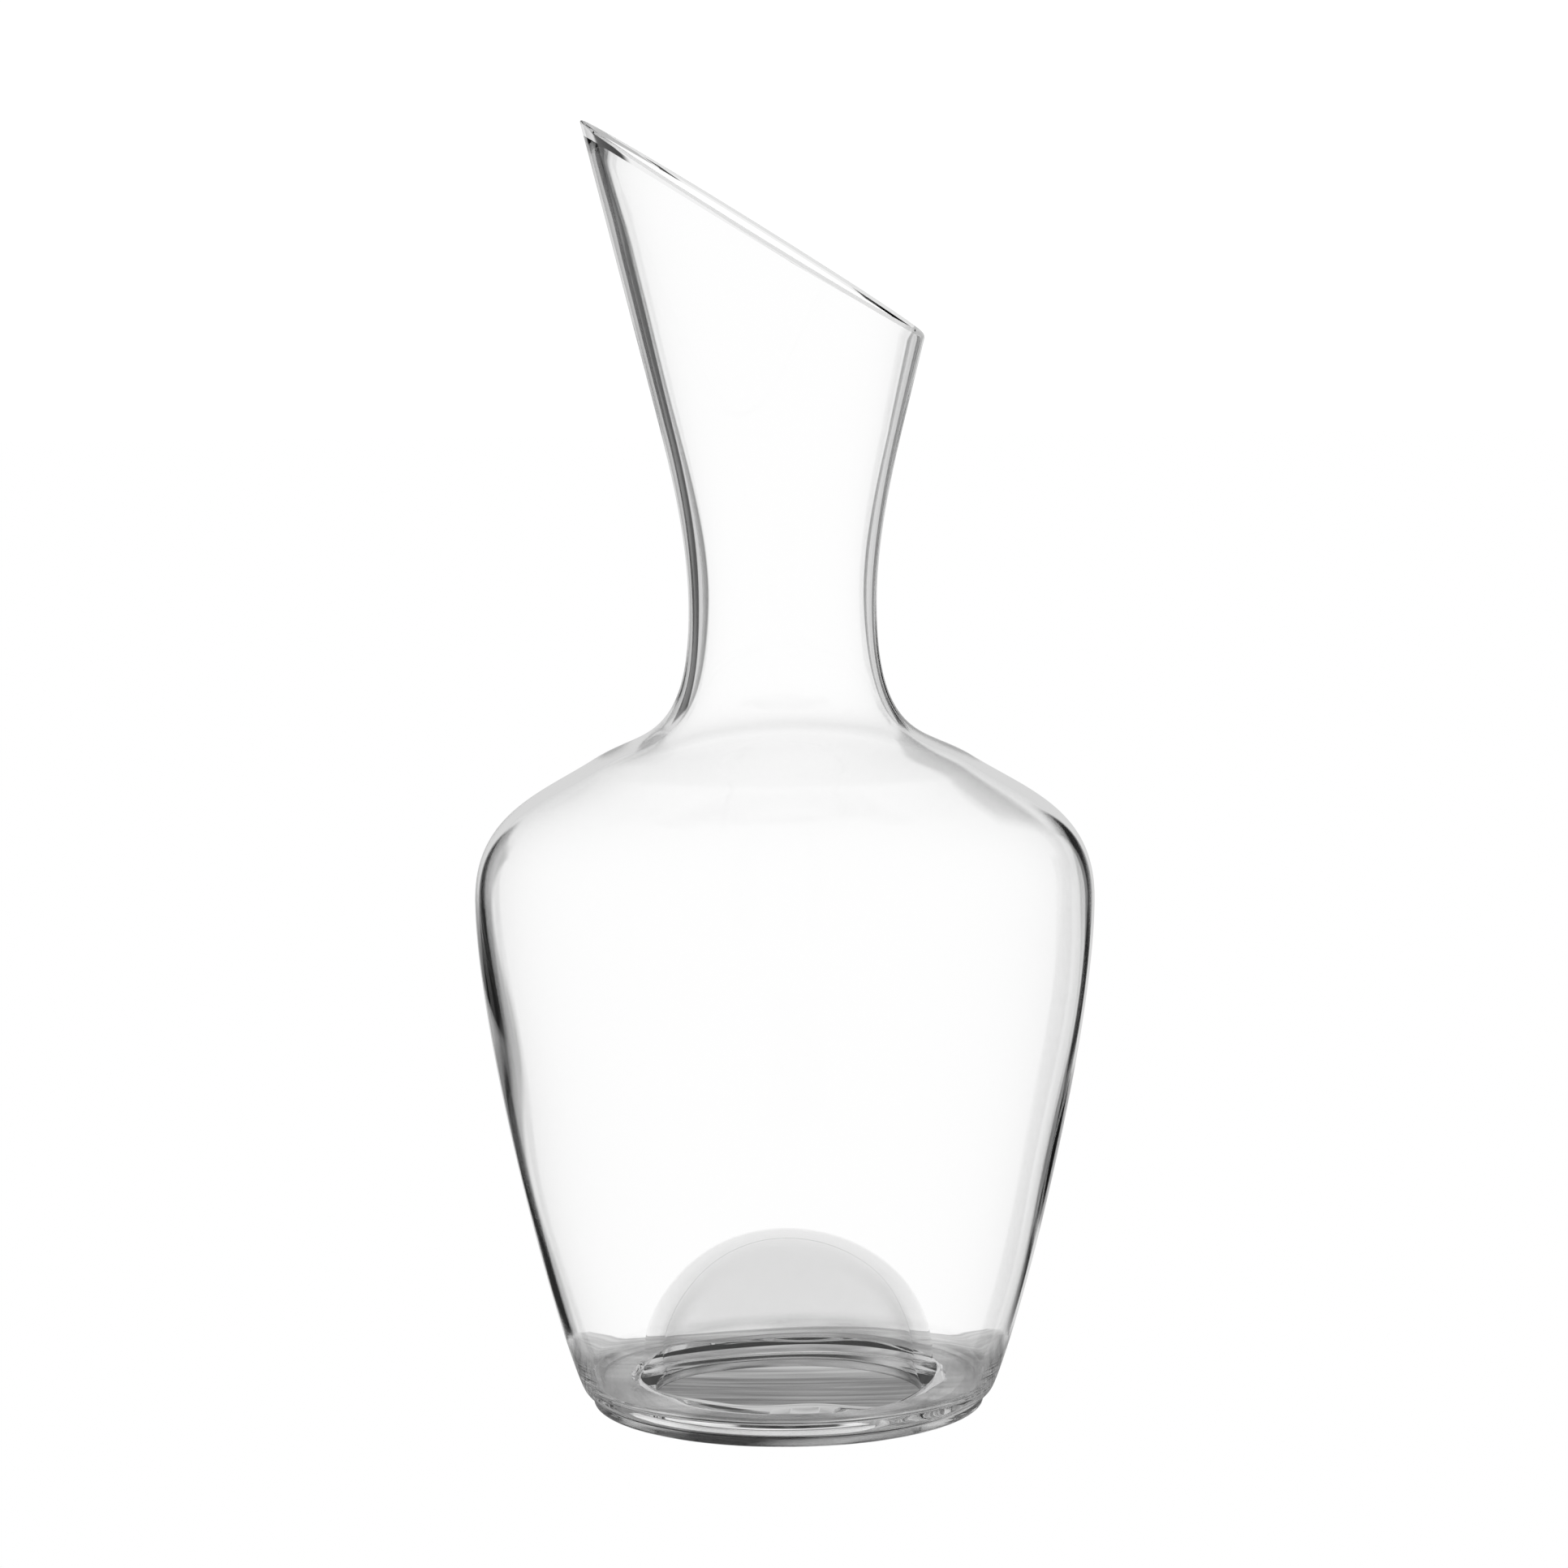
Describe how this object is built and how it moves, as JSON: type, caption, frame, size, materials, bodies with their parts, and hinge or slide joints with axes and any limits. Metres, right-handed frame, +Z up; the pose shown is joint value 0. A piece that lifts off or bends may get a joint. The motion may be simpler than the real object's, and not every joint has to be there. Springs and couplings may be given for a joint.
{
  "type": "wine decanter",
  "caption": "Clear glass wine decanter with an obliquely cut flaring mouth, a sloping shoulder, a tapering bowl and a hollow dome in its base.",
  "frame": {"origin": "centre of the foot's resting face, on the axis of the bowl and neck", "axes": "+Z up along the axis of the bowl and neck, -X towards the high tip of the cut mouth"},
  "size_m": [0.1358, 0.1358, 0.2824],
  "materials": {
    "clear_glass": "clear, fire-polished"
  },
  "bodies": {
    "root": {"blown_body": "clear_glass", "punt_insert": "clear_glass", "foot_ring": "clear_glass"}
  },
  "joints": []
}
